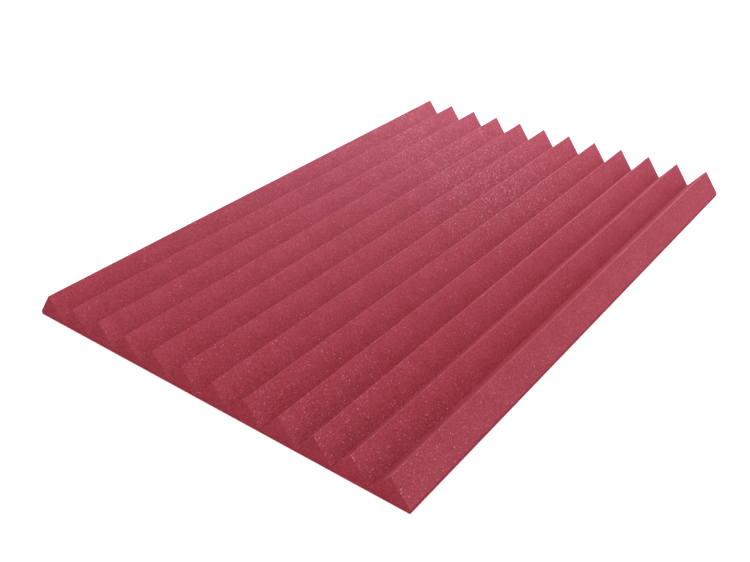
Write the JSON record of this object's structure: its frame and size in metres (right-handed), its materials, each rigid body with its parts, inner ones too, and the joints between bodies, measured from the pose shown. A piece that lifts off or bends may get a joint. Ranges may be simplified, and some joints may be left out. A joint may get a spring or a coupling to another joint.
{
  "type": "acoustic foam panel",
  "caption": "Rectangular acoustic foam panel with straight parallel wedges across its face, square-cut edges and a flat back that is glued to a wall or ceiling.",
  "frame": {"origin": "middle of the flat back, in the plane of the back", "axes": "+Z from the flat back towards the wedge crests, +Y along the wedges, +X across them"},
  "size_m": [0.6096, 0.9144, 0.0381],
  "materials": {
    "foam": "open-cell foam, dull burgundy"
  },
  "bodies": {
    "root": {"foam_panel": "foam"}
  },
  "joints": []
}
